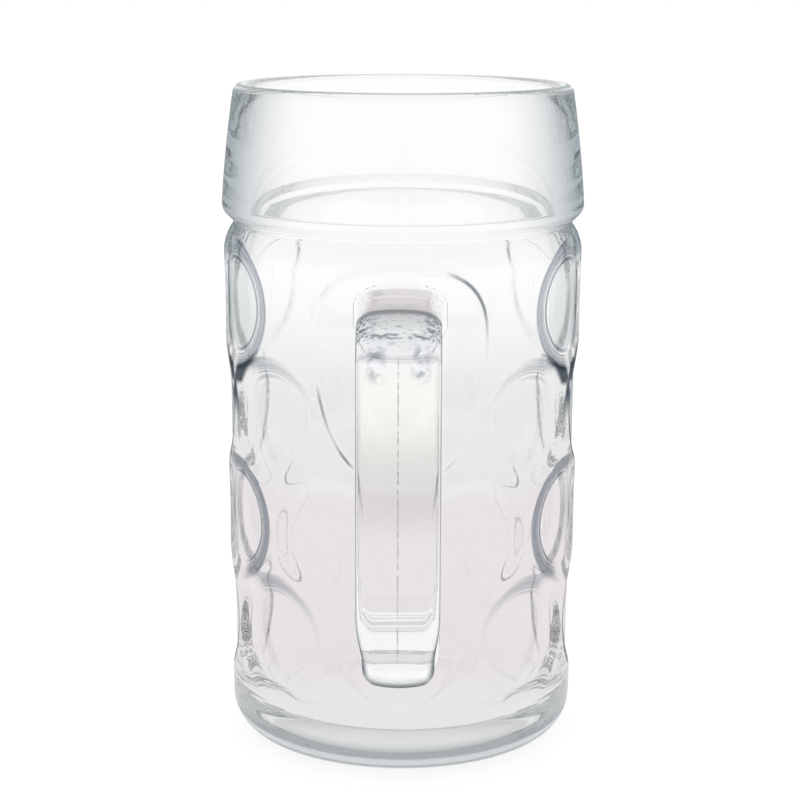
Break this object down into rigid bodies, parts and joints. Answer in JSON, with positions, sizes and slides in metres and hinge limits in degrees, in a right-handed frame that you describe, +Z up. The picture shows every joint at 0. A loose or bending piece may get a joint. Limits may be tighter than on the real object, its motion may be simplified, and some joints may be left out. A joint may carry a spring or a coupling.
{
  "type": "glass beer mug",
  "caption": "Tall clear pressed-glass beer mug with dimpled wall, grooved neck, flared plain collar, thick base and a square-shouldered side handle.",
  "frame": {"origin": "middle of the flat foot, on the mug's upright axis", "axes": "+Z up along the mug's axis from foot to rim; the handle points to -Y; +X to the right seen from the handle"},
  "size_m": [0.1094, 0.1507, 0.2],
  "materials": {
    "body_glass": "clear fire-polished soda-lime glass",
    "handle_glass": "clear pressed soda-lime glass"
  },
  "bodies": {
    "root": {"mug_body": "body_glass", "handle": "handle_glass"}
  },
  "joints": []
}
